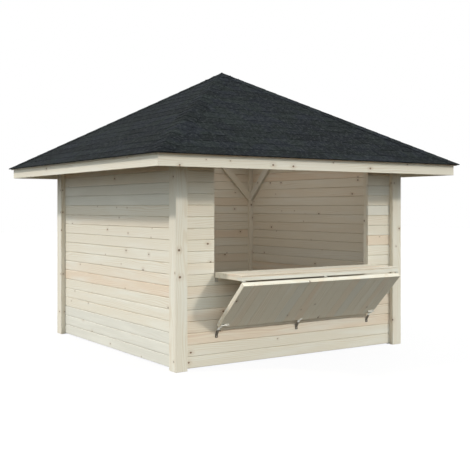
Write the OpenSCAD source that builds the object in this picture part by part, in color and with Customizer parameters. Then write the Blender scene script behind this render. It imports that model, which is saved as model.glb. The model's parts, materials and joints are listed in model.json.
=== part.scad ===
// Garden kiosk: a square timber shed on four grooved corner posts, with a pyramid roof and a wide
// serving opening. The hatch folds in two: its lower leaf opens out as a counter, and its upper leaf
// hangs from the counter's front edge and leans back to the wall as a prop.
// Front is -Y, and the origin is at the middle of the plan on the ground.

/* [Plan] */
// Outer width over the posts, the same on all four sides
plan_w = 3014; // [2600:2:3400]

/* [Posts] */
// Side of the square corner post
post_w = 134; // [100:1:150]
// Chamfer along the edges of the post
post_edge = 4; // [3:1:14]
// Depth of the groove in the post that takes the wall boards
groove_d = 20; // [10:1:30]

/* [Walls] */
// Thickness of the wall boards
board_t = 28; // [20:1:36]
// Height that one wall board covers
course_h = 114; // [110:1:130]
// Number of board courses from the base to the plate
courses = 19; // [19:1:21]
// Lowest board above the ground
base_gap = 12; // [4:1:40]

/* [Serving opening] */
// Clear width of the opening, between the ends of the wall boards
opening_w = 2072; // [1600:1:2200]
// Height of the sill's top above the ground
sill_top = 876; // [820:1:900]
// Height of the wall left over the opening
header_h = 178; // [150:1:200]
// Thickness of the jamb linings and the sill
lining_t = 28; // [18:1:40]
// Depth of the opening from the boards' outer face, front to back
lining_d = 74; // [60:1:100]

/* [Frame] */
// Height of the top plates
plate_h = 95; // [70:1:140]
// Thickness of the corner braces
brace_t = 44; // [30:1:45]
// Width of the corner braces
brace_w = 90; // [60:1:120]
// Length of a brace along the post and along the plate
brace_leg = 500; // [350:1:700]

/* [Roof] */
// Slope of the roof in degrees
roof_pitch = 30; // [22:1:38]
// Deck above the outer top edge of the plate
roof_lift = 46; // [40:1:70]
// Distance from the posts' outer face to the fascia's outer face
eave_out = 420; // [300:1:550]
// Height of the fascia on its outer face
fascia_h = 120; // [100:1:200]
// Thickness of the fascia boards
fascia_t = 20; // [16:1:30]
// Thickness of the roof deck
deck_t = 19; // [15:1:28]
// Thickness of the shingle covering
shingle_t = 8; // [5:1:14]
// Distance that the deck stands out past the fascia
deck_out = 26; // [15:1:60]
// Distance that the shingles stand out past the deck
shingle_out = 19; // [5:1:30]
// Width of the hip rafters
hip_w = 60; // [44:1:64]
// Height of the hip rafters, square to their length
hip_h = 120; // [95:1:130]
// Width of the rafters at mid side
rafter_w = 45; // [35:1:60]
// Height of the rafters at mid side, square to their length
rafter_h = 95; // [80:1:120]
// Width of the eight-sided king block across its flats
king_w = 160; // [160:1:220]
// Height of the king block's sides
king_h = 200; // [160:1:300]

/* [Hatch] */
// Running gap between the closed hatch and its opening
hatch_gap = 6; // [5:1:10]
// Depth of the counter leaf
counter_d = 470; // [420:1:500]
// Thickness of the counter's top boards
counter_board_t = 20; // [15:1:28]
// Thickness of the counter's frame
counter_rail_t = 32; // [26:1:50]
// Gap between the counter and the flap at their hinges
hinge_gap = 12; // [10:1:16]
// Thickness of the flap's boards
flap_board_t = 20; // [15:1:28]
// Thickness of the flap's frame
flap_rail_t = 26; // [20:1:40]
// Width of the rails, ledges and stiles of both leaves
rail_w = 70; // [50:1:100]
// Number of ledges in the counter and of stiles in the flap
ledges = 4; // [2:1:6]
// Distance from the wall at which the folded flap's free edge stands
prop_gap = 36.5; // [25:0.5:60]

/* [Hardware] */
// Radius of the hinge knuckles
knuckle_r = 6; // [5:0.5:6]
// Radius of the hinge pins
pin_r = 3; // [2:0.5:3.5]
// Width of a hinge
hinge_w = 36; // [30:1:60]
// Length of a hinge leaf from its pin
leaf_l = 40; // [30:1:60]
// Thickness of the hinge leaves
leaf_t = 3; // [2:0.5:4]
// Width of the hooks that the flap leans on
hook_w = 30; // [20:1:40]
// Thickness of the hooks' strap
hook_t = 5; // [3:0.5:8]
// Length of a barrel bolt
bolt_l = 90; // [70:1:120]
// Width of a barrel bolt's plate
bolt_w = 30; // [24:1:40]

/* [Hidden] */
$fn = 32;

// Overrun of every cut past the face that it cuts
over = 10;
wood = "wheat";
frame_wood = "burlywood";
covering = "dimgray";
steel = "silver";

// Posts and walls, as distances from the middle of the plan
half = plan_w / 2;
post_mid = half - post_w / 2;
post_in = half - post_w;
wall_out = post_mid + board_t / 2;
wall_in = post_mid - board_t / 2;
wall_end = post_in + groove_d;
wall_top = base_gap + courses * course_h;
plate_top = wall_top + plate_h;
open_half = opening_w / 2;
sill_low = sill_top - lining_t;
jamb_d = lining_d - board_t;
open_top = wall_top - header_h;
brace_cut = brace_w * sqrt(2);

// Roof: the deck's underside falls evenly from its peak, by the distance out from the middle
// The roof timbers keep a hair's gap to the deck and the king block, so that rounding never makes them overlap
seat_gap = 0.1;
slope = tan(roof_pitch);
hip_pitch = atan(slope / sqrt(2));
peak = plate_top + roof_lift + half * slope;
function deck_z(out) = peak - out * slope;
function seat_z(out) = deck_z(out) - seat_gap;
function hip_z(along) = peak - along * slope / sqrt(2);
deck_rise = deck_t / cos(roof_pitch);
shingle_rise = shingle_t / cos(roof_pitch);
rafter_drop = rafter_h / cos(roof_pitch);
hip_drop = hip_h / cos(hip_pitch);
fascia_out = half + eave_out;
fascia_in = fascia_out - fascia_t;
fascia_low = deck_z(fascia_out) - fascia_h;
deck_edge = fascia_out + deck_out;
shingle_edge = deck_edge + shingle_out;
roof_top = peak + deck_rise + shingle_rise;

// Hatch: both leaves are laid out flat, at the height of the open counter
hatch_half = open_half - hatch_gap;
pin_z = sill_top + hatch_gap;
leaf_low = pin_z + knuckle_r;
sill_pin_y = -wall_out - knuckle_r;
counter_front = sill_pin_y - counter_d;
flap_pin_y = counter_front - hinge_gap / 2;
flap_back = counter_front - hinge_gap;
flap_len = open_top - hatch_gap - pin_z - counter_d - hinge_gap;
flap_front = flap_back - flap_len;
flap_t = flap_rail_t + flap_board_t;

// Fold: the flap turns about its pin until its free edge stands off the wall
free_run = flap_pin_y - flap_front;
fold_reach = -wall_out - prop_gap - flap_pin_y;
flap_fold = 180 + atan(knuckle_r / free_run) - acos(fold_reach / norm([free_run, knuckle_r]));
function folded_y(y, z) = flap_pin_y + (y - flap_pin_y) * cos(flap_fold) - (z - pin_z) * sin(flap_fold);
function folded_z(y, z) = pin_z + (y - flap_pin_y) * sin(flap_fold) + (z - pin_z) * cos(flap_fold);

// Hinges: the running gaps of a knuckle, and the places of the three hinges and hooks
knuckle_gap = 1;
pin_fit = 0.05;
fitting_inset = 2;
fitting_x = hatch_half - hinge_w / 2 - fitting_inset;
knuckle_w = hinge_w / 3;

// Hooks: the lip stands under the flap's free edge and the arm runs down to the wall
hook_gap = 5;
hook_drop = 84;
hook_plate_h = 30;
bend_thinning = 0.3;
lip_share = 0.2;
lip_tip_share = 0.65;

// Catches: a plate over each hook guards the flap's free edge
catch_h = 26;
catch_t = 3;

// Bolts: a plate with a barrel, its rod and its knob
bolt_plate_t = 2;
bolt_barrel_r = 7;
bolt_rod_r = 5;
bolt_knob_r = 4;
bolt_knob_h = 10;
bolt_edge = 45;
bolt_inset = 5;
bolt_barrel_share = 0.6;

// Carries a piece of the front side round to another side: 0 front, 1 right, 2 back, 3 left
module on_side(turns) {
    rotate([0, 0, turns * 90]) children();
}

// A front-side section, given as [distance out, height], run along the eave and mitred at the hips
module mitred(section) {
    run = shingle_edge + over;
    intersection() {
        translate([-run, 0, 0]) rotate([90, 0, 90]) linear_extrude(2 * run)
            polygon([for (p = section) [-p[0], p[1]]]);
        linear_extrude(roof_top + over) polygon([[0, 0], [-run, -run], [run, -run]]);
    }
}

// The space under the roof deck, above the fascia's lower edge
module under_deck() {
    intersection_for (turn = [0, 1])
        on_side(turn) translate([-deck_edge, 0, 0]) rotate([90, 0, 90]) linear_extrude(2 * deck_edge)
            polygon([
                [-deck_edge, fascia_low], [deck_edge, fascia_low], [deck_edge, seat_z(deck_edge)],
                [0, seat_z(0)], [-deck_edge, seat_z(deck_edge)]
            ]);
}

// What a rafter is notched over: the plates, with the posts and walls below them
module plate_ring() {
    linear_extrude(plate_top) difference() {
        square(2 * half, center = true);
        square(2 * post_in, center = true);
    }
}

module post() {
    e = post_w / 2;
    c = e - post_edge;
    translate([-post_mid, -post_mid, 0]) linear_extrude(wall_top) difference() {
        polygon([[-e, -c], [-c, -e], [c, -e], [e, -c], [e, c], [c, e], [-c, e], [-e, c]]);
        translate([e - groove_d, -board_t / 2]) square([groove_d + over, board_t]);
        translate([-board_t / 2, e - groove_d]) square([board_t, groove_d + over]);
    }
}

module wall_slab(x0, x1, z0, z1) {
    translate([x0, -wall_out, z0]) cube([x1 - x0, board_t, z1 - z0]);
}

module whole_wall() {
    wall_slab(-wall_end, wall_end, base_gap, wall_top);
}

module plate(reach) {
    translate([-reach, -half, wall_top]) cube([2 * reach, post_w, plate_h]);
}

module deck() {
    mitred([[0, peak], [deck_edge, deck_z(deck_edge)],
            [deck_edge, deck_z(deck_edge) + deck_rise], [0, peak + deck_rise]]);
}

module shingles() {
    low = deck_rise + seat_gap;
    mitred([[0, peak + low], [shingle_edge, deck_z(shingle_edge) + low],
            [shingle_edge, deck_z(shingle_edge) + deck_rise + shingle_rise], [0, roof_top]]);
}

module fascia() {
    mitred([[fascia_in, fascia_low], [fascia_out, fascia_low],
            [fascia_out, seat_z(fascia_out)], [fascia_in, seat_z(fascia_in)]]);
}

// A slab of a flat hatch leaf, between two distances front and back
module leaf_slab(y0, y1, z, t) {
    translate([-hatch_half, y0, z]) cube([2 * hatch_half, y1 - y0, t]);
}

// The two long rails of a leaf
module leaf_rails(y0, y1, t) {
    leaf_slab(y0, y0 + rail_w, leaf_low, t);
    leaf_slab(y1 - rail_w, y1, leaf_low, t);
}

// The cross pieces between a leaf's rails, from end to end
module leaf_ledges(y0, y1, t) {
    step = 2 * (hatch_half - rail_w / 2) / (ledges - 1);
    for (i = [0 : ledges - 1])
        translate([-hatch_half + i * step, y0 + rail_w, leaf_low])
            cube([rail_w, y1 - y0 - 2 * rail_w, t]);
}

// Turns what is laid out flat with the flap to the flap's folded place
module folded() {
    translate([0, flap_pin_y, pin_z]) rotate([flap_fold, 0, 0])
        translate([0, -flap_pin_y, -pin_z]) children();
}

// A round bar along X, about its own middle
module bar(r, l) {
    rotate([0, 90, 0]) cylinder(r = r, h = l, center = true);
}

// A hinge leaf on the plane over its pin, reaching along +Y, with a tongue to each knuckle
module hinge_leaf(knuckles, w) {
    start = knuckle_r + knuckle_gap;
    translate([-hinge_w / 2, start, knuckle_r - leaf_t]) cube([hinge_w, leaf_l - start, leaf_t]);
    for (x = knuckles)
        translate([x - w / 2, 0, knuckle_r - leaf_t]) cube([w, start + leaf_t, leaf_t]);
}

// The half of a hinge that holds the pin in its two outer knuckles
module pin_half() {
    hinge_leaf([-knuckle_w, knuckle_w], knuckle_w);
    for (x = [-knuckle_w, knuckle_w]) translate([x, 0, 0]) bar(knuckle_r, knuckle_w);
    bar(pin_r, hinge_w);
}

// The half of a hinge that turns on the pin with its middle knuckle
module bore_half() {
    w = knuckle_w - 2 * knuckle_gap;
    difference() {
        union() {
            hinge_leaf([0], w);
            bar(knuckle_r, w);
        }
        bar(pin_r + pin_fit, hinge_w + over);
    }
}

// One fitting at each end of the hatch and one at its middle
module at_fittings(y, z) {
    for (x = [-fitting_x, 0, fitting_x]) translate([x, y, z]) children();
}

// A bent strap's outline through a list of points, a little thinner where it is bent
module strap(points) {
    for (i = [0 : len(points) - 2]) {
        run = points[i + 1] - points[i];
        translate(points[i]) rotate(atan2(run[1], run[0])) translate([0, -hook_t / 2])
            square([norm(run), hook_t]);
    }
    for (i = [1 : len(points) - 2]) translate(points[i]) circle(r = hook_t / 2 - bend_thinning);
}

module hook() {
    lip_y = flap_front - hook_gap - hook_t / 2;
    lip_z = leaf_low + flap_t * lip_share;
    tip_z = leaf_low + flap_t * lip_tip_share;
    tip = [folded_y(lip_y, tip_z), folded_z(lip_y, tip_z)];
    plate_y = -wall_out - hook_t / 2;
    bend_z = tip[1] - hook_drop;
    translate([-hook_w / 2, 0, 0]) rotate([90, 0, 90]) linear_extrude(hook_w)
        strap([
            [plate_y, bend_z - hook_plate_h], [plate_y, bend_z], tip,
            [folded_y(lip_y, lip_z), folded_z(lip_y, lip_z)]
        ]);
}

// A barrel bolt on the flap's boards, shooting towards +X
module bolt() {
    barrel_z = bolt_plate_t + bolt_barrel_r;
    translate([0, -bolt_w / 2, 0]) cube([bolt_l, bolt_w, bolt_plate_t]);
    translate([0, -bolt_barrel_r, 0]) cube([bolt_l * bolt_barrel_share, 2 * bolt_barrel_r, barrel_z]);
    translate([bolt_l * bolt_barrel_share / 2, 0, barrel_z]) bar(bolt_barrel_r, bolt_l * bolt_barrel_share);
    translate([bolt_l / 2, 0, barrel_z]) bar(bolt_rod_r, bolt_l);
    translate([bolt_l - bolt_knob_r, 0, barrel_z])
        cylinder(r = bolt_knob_r, h = bolt_rod_r + bolt_knob_h);
}

module post_front_left() { color(frame_wood) post(); }
module post_front_right() { color(frame_wood) on_side(1) post(); }
module post_back_right() { color(frame_wood) on_side(2) post(); }
module post_back_left() { color(frame_wood) on_side(3) post(); }

module right_wall() { color(wood) on_side(1) whole_wall(); }
module back_wall() { color(wood) on_side(2) whole_wall(); }
module left_wall() { color(wood) on_side(3) whole_wall(); }

module front_wall_left() { color(wood) wall_slab(-wall_end, -open_half, base_gap, wall_top); }
module front_wall_right() { color(wood) wall_slab(open_half, wall_end, base_gap, wall_top); }
module front_wall_below() { color(wood) wall_slab(-open_half, open_half, base_gap, sill_low); }
module front_wall_above() { color(wood) wall_slab(-open_half, open_half, open_top, wall_top); }

// The jamb linings stand behind the ends of the boards and hold them
module jamb_linings() {
    color(frame_wood) for (side = [0, 1]) mirror([side, 0, 0])
        translate([open_half, -wall_in, sill_low]) cube([lining_t, jamb_d, open_top - sill_low]);
}

module sill() {
    color(frame_wood) translate([-open_half, -wall_out, sill_low])
        cube([2 * open_half, lining_d, lining_t]);
}

module plate_front() { color(frame_wood) plate(half); }
module plate_right() { color(frame_wood) on_side(1) plate(post_in); }
module plate_back() { color(frame_wood) on_side(2) plate(half); }
module plate_left() { color(frame_wood) on_side(3) plate(post_in); }

// Two braces on each closed wall, from the post up to the plate
module braces() {
    color(frame_wood) for (turn = [1 : 3]) on_side(turn) for (side = [0, 1]) mirror([side, 0, 0])
        translate([0, brace_t - wall_in, 0]) rotate([90, 0, 0]) linear_extrude(brace_t)
            polygon([
                [post_in, wall_top - brace_leg], [post_in, wall_top - brace_leg + brace_cut],
                [post_in - brace_leg + brace_cut, wall_top], [post_in - brace_leg, wall_top]
            ]);
}

// Hip rafters from the king block to the fascia's corners, backed to the deck and cut over the plates
module hip_rafters() {
    near = king_w / 2 + seat_gap;
    far = fascia_in * sqrt(2);
    color(frame_wood) difference() {
        intersection() {
            for (turn = [0 : 3]) rotate([0, 0, 45 + turn * 90]) rotate([90, 0, 0])
                linear_extrude(hip_w, center = true) polygon([
                    [near, hip_z(near)], [far, hip_z(far)],
                    [far, hip_z(far) - hip_drop], [near, hip_z(near) - hip_drop]
                ]);
            under_deck();
            linear_extrude(roof_top) square(2 * fascia_in, center = true);
        }
        plate_ring();
    }
}

// One rafter at the middle of each side, with a birdsmouth over the plate
module mid_rafters() {
    near = king_w / 2 + seat_gap;
    color(frame_wood) difference() {
        for (turn = [0 : 3]) rotate([0, 0, turn * 90]) rotate([90, 0, 0])
            linear_extrude(rafter_w, center = true) polygon([
                [near, seat_z(near)], [fascia_in, seat_z(fascia_in)],
                [fascia_in, seat_z(fascia_in) - rafter_drop], [near, seat_z(near) - rafter_drop]
            ]);
        plate_ring();
    }
}

module king_block() {
    low = deck_z(king_w / 2) - king_h;
    color(frame_wood) intersection() {
        translate([0, 0, low]) rotate([0, 0, 22.5])
            cylinder(d = king_w / cos(22.5), h = peak - low, $fn = 8);
        under_deck();
    }
}

module deck_front() { color(wood) deck(); }
module deck_right() { color(wood) on_side(1) deck(); }
module deck_back() { color(wood) on_side(2) deck(); }
module deck_left() { color(wood) on_side(3) deck(); }

module fascia_front() { color(wood) fascia(); }
module fascia_right() { color(wood) on_side(1) fascia(); }
module fascia_back() { color(wood) on_side(2) fascia(); }
module fascia_left() { color(wood) on_side(3) fascia(); }

module shingles_front() { color(covering) shingles(); }
module shingles_right() { color(covering) on_side(1) shingles(); }
module shingles_back() { color(covering) on_side(2) shingles(); }
module shingles_left() { color(covering) on_side(3) shingles(); }

module counter_top() {
    color(wood) leaf_slab(counter_front, sill_pin_y, leaf_low + counter_rail_t, counter_board_t);
}

module counter_rails() { color(frame_wood) leaf_rails(counter_front, sill_pin_y, counter_rail_t); }
module counter_ledges() { color(frame_wood) leaf_ledges(counter_front, sill_pin_y, counter_rail_t); }

module flap_boards() {
    color(wood) folded() leaf_slab(flap_front, flap_back, leaf_low + flap_rail_t, flap_board_t);
}

module flap_rails() { color(frame_wood) folded() leaf_rails(flap_front, flap_back, flap_rail_t); }
module flap_stiles() { color(frame_wood) folded() leaf_ledges(flap_front, flap_back, flap_rail_t); }

module sill_hinges() {
    color(steel) at_fittings(sill_pin_y, pin_z) rotate([-90, 0, 0]) pin_half();
}

module counter_hinges() {
    color(steel) {
        at_fittings(sill_pin_y, pin_z) mirror([0, 1, 0]) bore_half();
        at_fittings(flap_pin_y, pin_z) pin_half();
    }
}

module flap_hinges() {
    color(steel) folded() at_fittings(flap_pin_y, pin_z) mirror([0, 1, 0]) bore_half();
}

module prop_hooks() {
    color(steel) at_fittings(0, 0) hook();
}

module flap_catches() {
    color(steel) folded() at_fittings(flap_front, leaf_low + flap_t)
        translate([-hook_w / 2, 0, 0]) cube([hook_w, catch_h, catch_t]);
}

module flap_bolts() {
    color(steel) folded() for (side = [0, 1]) mirror([side, 0, 0])
        translate([hatch_half - bolt_inset - bolt_l, flap_front + bolt_edge, leaf_low + flap_t]) bolt();
}

post_front_left();
post_front_right();
post_back_left();
post_back_right();
left_wall();
right_wall();
back_wall();
front_wall_left();
front_wall_right();
front_wall_below();
front_wall_above();
jamb_linings();
sill();
plate_front();
plate_back();
plate_left();
plate_right();
braces();
hip_rafters();
mid_rafters();
king_block();
deck_front();
deck_back();
deck_left();
deck_right();
fascia_front();
fascia_back();
fascia_left();
fascia_right();
shingles_front();
shingles_back();
shingles_left();
shingles_right();
counter_top();
counter_rails();
counter_ledges();
flap_boards();
flap_rails();
flap_stiles();
sill_hinges();
counter_hinges();
flap_hinges();
prop_hooks();
flap_catches();
flap_bolts();
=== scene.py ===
# %% [markdown]
# # Dressing a garden kiosk
# The frame is a square timber kiosk with a pyramid roof and a folding serving hatch, as plain solids from
# the CAD model. In this lesson you dress it the way it is built: boards with tongues between grooved posts,
# beams with eased edges, shingles laid in courses, and steel fittings with their screws. Every piece sits in
# the CAD model's own frame, in metres, so nothing has to be fitted by eye.

# %% Load the frame
import json
import math
import random

import bmesh
import bpy
import numpy
from mathutils import Matrix, Vector

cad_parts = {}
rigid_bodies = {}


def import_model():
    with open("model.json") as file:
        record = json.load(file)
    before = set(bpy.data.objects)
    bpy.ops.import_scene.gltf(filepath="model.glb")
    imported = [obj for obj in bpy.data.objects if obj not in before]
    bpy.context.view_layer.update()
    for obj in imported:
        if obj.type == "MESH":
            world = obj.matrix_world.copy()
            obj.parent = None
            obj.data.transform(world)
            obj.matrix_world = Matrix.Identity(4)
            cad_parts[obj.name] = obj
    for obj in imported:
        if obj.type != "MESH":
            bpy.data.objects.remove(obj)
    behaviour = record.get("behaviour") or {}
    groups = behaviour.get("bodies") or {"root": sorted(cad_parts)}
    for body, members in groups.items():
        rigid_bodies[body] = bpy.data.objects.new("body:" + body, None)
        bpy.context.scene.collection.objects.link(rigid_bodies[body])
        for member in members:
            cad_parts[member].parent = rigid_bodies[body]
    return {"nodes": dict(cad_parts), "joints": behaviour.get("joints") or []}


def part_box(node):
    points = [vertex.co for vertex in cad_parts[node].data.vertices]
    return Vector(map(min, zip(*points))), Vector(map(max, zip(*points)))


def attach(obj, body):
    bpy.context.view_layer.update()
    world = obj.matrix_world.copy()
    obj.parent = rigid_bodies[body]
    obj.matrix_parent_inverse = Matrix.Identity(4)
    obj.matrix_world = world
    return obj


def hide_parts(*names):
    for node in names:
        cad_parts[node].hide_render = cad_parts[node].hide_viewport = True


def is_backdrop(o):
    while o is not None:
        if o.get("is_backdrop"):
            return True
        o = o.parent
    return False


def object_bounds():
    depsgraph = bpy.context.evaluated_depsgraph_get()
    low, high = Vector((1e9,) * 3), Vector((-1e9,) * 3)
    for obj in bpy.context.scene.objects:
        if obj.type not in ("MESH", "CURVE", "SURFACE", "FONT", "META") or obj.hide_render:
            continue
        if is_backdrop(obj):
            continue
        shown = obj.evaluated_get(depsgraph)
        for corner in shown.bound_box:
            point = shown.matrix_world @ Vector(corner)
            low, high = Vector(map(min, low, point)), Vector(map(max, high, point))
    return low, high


for leftover in list(bpy.data.objects):
    bpy.data.objects.remove(leftover)
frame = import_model()
cad_low, cad_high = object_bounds()
nodes = frame["nodes"]
scene = bpy.context.scene
scene.view_settings.view_transform = "Standard"
print("nodes:", len(nodes), "box from", [round(v, 3) for v in cad_low], "to", [round(v, 3) for v in cad_high])

# %% [markdown]
# ## Camera
# The photograph was taken at eye height with a level camera, so the posts stay upright in the picture. A
# tilted camera would make them lean, so the lens is shifted down instead, as on a view camera. The focal
# length, the turn and the place were solved from the posts, the eaves and the board lines.

# %% Camera
PICTURE_PIXELS = 470
FOCAL_PIXELS = 814.84
HORIZON_PIXELS = 207.28
SENSOR_MM = 36.0
CAMERA_PLACE = (-5.3895, -8.3054, 1.5880)
CAMERA_TURN_DEG = -33.896
LEVEL_DEG = 90

camera_data = bpy.data.cameras.new("camera")
camera_data.sensor_width = SENSOR_MM
camera_data.lens = SENSOR_MM * FOCAL_PIXELS / PICTURE_PIXELS
camera_data.shift_y = (HORIZON_PIXELS - PICTURE_PIXELS / 2) / PICTURE_PIXELS
camera = bpy.data.objects.new("camera", camera_data)
camera.location = CAMERA_PLACE
camera.rotation_euler = (math.radians(LEVEL_DEG), 0, math.radians(CAMERA_TURN_DEG))
scene.collection.objects.link(camera)
scene.camera = camera
print("camera lens:", round(camera_data.lens, 2), "mm, shift:", round(camera_data.shift_y, 4))

# %% [markdown]
# ## Helpers for node trees
# Materials and Geometry Nodes are both node trees, and both get long when every link is a line of code. One
# helper fills a node's sockets: another node's output is linked, and any other value is set on the socket
# itself. The next one adds a node and fills it, and the others wrap the nodes that are used most.

# %% Node helpers
def fill(tree, node, sockets):
    for key, value in sockets.items():
        if isinstance(value, bpy.types.NodeSocket):
            tree.links.new(value, node.inputs[key])
        else:
            node.inputs[key].default_value = value
    return node


def add(tree, kind, sockets=None, **settings):
    made = tree.nodes.new(kind)
    for name, value in settings.items():
        setattr(made, name, value)
    return fill(tree, made, sockets or {})


def calc(tree, operation, *values):
    return add(tree, "ShaderNodeMath", dict(enumerate(values)), operation=operation).outputs[0]


def vector(tree, operation, *values):
    return add(tree, "ShaderNodeVectorMath", dict(enumerate(values)), operation=operation).outputs[0]


def combine(tree, *values):
    return add(tree, "ShaderNodeCombineXYZ", dict(enumerate(values))).outputs[0]


def fade(tree, value, low, high, start, end):
    sockets = {"Value": value, "From Min": low, "From Max": high, "To Min": start, "To Max": end}
    return add(tree, "ShaderNodeMapRange", sockets, interpolation_type="SMOOTHSTEP").outputs[0]


def noise(tree, place, stretch, detail):
    sockets = {"Vector": vector(tree, "MULTIPLY", place, stretch), "Scale": 1.0, "Detail": detail}
    return add(tree, "ShaderNodeTexNoise", sockets).outputs[0]


def blend(tree, share, first, second):
    return add(tree, "ShaderNodeMix", {0: share, 6: first, 7: second}, data_type="RGBA").outputs[2]


def new_tree(name, kind, inputs, outputs):
    tree = bpy.data.node_groups.new(name, kind)
    for label, socket in inputs:
        tree.interface.new_socket(label, in_out="INPUT", socket_type="NodeSocket" + socket)
    for label, socket in outputs:
        tree.interface.new_socket(label, in_out="OUTPUT", socket_type="NodeSocket" + socket)
    return tree


print("node helpers ready")

# %% [markdown]
# ## Knots
# Spruce has small brown knots where its branches grew. You could paint them into a picture, but a picture
# would repeat, so the wood is made from a place in the board: X runs along the grain, Y across it and Z
# through it. The board is divided into cells with one scattered point each. Only a share of the points is a
# knot, a little longer along the grain than across it, and most cells stay empty.

# %% Knots
KNOT_ALONG = 0.26
KNOT_ACROSS = 0.114
KNOT_SCATTER = 0.9
KNOT_OVAL = 0.75
KNOT_SMALL = 0.005
KNOT_LARGE = 0.012
KNOT_CORE = 0.5
KNOT_REACH = 4.0


def knot_field(tree, place, share):
    """How much of a place is knot, how near the knot is, and how far it pushes the rings aside."""
    cells = vector(tree, "MULTIPLY", place, (1 / KNOT_ALONG, 1 / KNOT_ACROSS, 0))
    spots = add(tree, "ShaderNodeTexVoronoi", {"Vector": cells, "Scale": 1.0, "Randomness": KNOT_SCATTER},
                voronoi_dimensions="2D")
    away = vector(tree, "SUBTRACT", cells, spots.outputs["Position"])
    away = vector(tree, "MULTIPLY", away, (KNOT_OVAL * KNOT_ALONG, KNOT_ACROSS, 0))
    distance = add(tree, "ShaderNodeVectorMath", {0: away}, operation="LENGTH").outputs["Value"]
    chance = add(tree, "ShaderNodeSeparateColor", {0: spots.outputs["Color"]}).outputs
    present = calc(tree, "LESS_THAN", chance[0], share)
    size = fade(tree, chance[1], 0.0, 1.0, KNOT_SMALL, KNOT_LARGE)
    heart = fade(tree, distance, calc(tree, "MULTIPLY", size, KNOT_CORE), size, 1.0, 0.0)
    around = fade(tree, distance, size, calc(tree, "MULTIPLY", size, KNOT_REACH), 1.0, 0.0)
    heart = calc(tree, "MULTIPLY", heart, present)
    around = calc(tree, "MULTIPLY", around, present)
    sideways = add(tree, "ShaderNodeSeparateXYZ", {0: away}).outputs[1]
    return heart, around, calc(tree, "MULTIPLY", sideways, around)


print("knots:", KNOT_SMALL, "to", KNOT_LARGE, "m in radius, in cells", KNOT_ALONG, "m long")

# %% [markdown]
# ## Spruce
# The kiosk is planed spruce, left natural: cream, with fine growth rings along each board and a few peach
# coloured or silvery boards. The rings are a sine across the board, drifting slowly along it, with fine
# streaks and pale patches laid over them. Round a knot they are pushed aside, as they are in a real board.

# %% Spruce pattern
CREAM = (0.79, 0.725, 0.605, 1)
STRAW = (0.73, 0.637, 0.497, 1)
PEACH = (0.80, 0.67, 0.52, 1)
RUST = (0.72, 0.56, 0.42, 1)
PALE = (0.81, 0.765, 0.665, 1)
SILVER = (0.70, 0.68, 0.61, 1)
KNOT_RIM = (0.42, 0.26, 0.14, 1)
KNOT_HEART = (0.16, 0.085, 0.045, 1)
RING_PUSH = -0.6
RING_COUNT = 420.0
RING_DRIFT = 70.0
RING_RANGE = (-0.4, 1.0)
DRIFT_STRETCH = (0.6, 5, 5)
STREAK_STRETCH = (2.5, 300, 300)
PATCH_STRETCH = (1.1, 9, 9)
RING_SHARE = 0.45
STREAK_SHARE = 0.55
LATE_RANGE = (0.2, 0.85)
PEACH_RANGE = (0.55, 1.0)
SILVER_RANGE = (0.05, 0.25)
SILVER_SHARE = 0.6
PALE_RANGE = (0.45, 0.75)
PALE_SHARE = 0.7
RIM_SHARE = 0.2
HEART_SHARE = 0.92
HEART_DENT = 0.5
NOISE_RANGE = (0.3, 0.7)
WOOD_ROUGH = (0.5, 0.7)


def spruce_pattern():
    tree = new_tree("spruce", "ShaderNodeTree", [("Place", "Vector"), ("Tint", "Float"), ("Knots", "Float")],
                    [("Color", "Color"), ("Roughness", "Float"), ("Height", "Float")])
    given = tree.nodes.new("NodeGroupInput").outputs
    heart, around, push = knot_field(tree, given["Place"], given["Knots"])
    along, across, through = add(tree, "ShaderNodeSeparateXYZ", {0: given["Place"]}).outputs
    across = calc(tree, "MULTIPLY_ADD", push, RING_PUSH, across)
    bent = combine(tree, along, across, through)
    drift = noise(tree, bent, DRIFT_STRETCH, detail=2.0)
    turns = calc(tree, "MULTIPLY_ADD", drift, RING_DRIFT, calc(tree, "MULTIPLY", across, RING_COUNT))
    rings = fade(tree, calc(tree, "SINE", turns), *RING_RANGE, 0.0, 1.0)
    streaks = noise(tree, bent, STREAK_STRETCH, detail=3.0)
    patches = noise(tree, given["Place"], PATCH_STRETCH, detail=2.0)
    figure = calc(tree, "MULTIPLY_ADD", rings, RING_SHARE, calc(tree, "MULTIPLY", streaks, STREAK_SHARE))
    late = fade(tree, figure, *LATE_RANGE, 0.0, 1.0)
    plain = blend(tree, late, CREAM, STRAW)
    warm = blend(tree, late, PEACH, RUST)
    color = blend(tree, fade(tree, given["Tint"], *PEACH_RANGE, 0.0, 1.0), plain, warm)
    color = blend(tree, fade(tree, given["Tint"], *SILVER_RANGE, SILVER_SHARE, 0.0), color, SILVER)
    color = blend(tree, fade(tree, patches, *PALE_RANGE, 0.0, PALE_SHARE), color, PALE)
    color = blend(tree, calc(tree, "MULTIPLY", around, RIM_SHARE), color, KNOT_RIM)
    color = blend(tree, calc(tree, "MULTIPLY", heart, HEART_SHARE), color, KNOT_HEART)
    rough = fade(tree, streaks, *NOISE_RANGE, *WOOD_ROUGH)
    height = calc(tree, "SUBTRACT", figure, calc(tree, "MULTIPLY", heart, HEART_DENT))
    add(tree, "NodeGroupOutput", {"Color": color, "Roughness": rough, "Height": height})
    return tree


spruce_tree = spruce_pattern()
print("spruce pattern:", len(spruce_tree.nodes), "nodes")

# %% [markdown]
# ## The wood material
# Each wooden mesh carries two attributes: "grain", the place in its own board, and "tint", a number that
# runs from silvery boards at 0 to peach ones at 1. Reading the place from an attribute lets one material
# serve boards that lie flat, stand, slope or fold, because the grain then always runs along the piece. There
# are three finishes: on beams and posts the grain stands out more than on boards, and posts have most knots.

# %% Wood material
WOOD_GLOSS = 0.15
GRAIN_DEPTH = 0.0008


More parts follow.
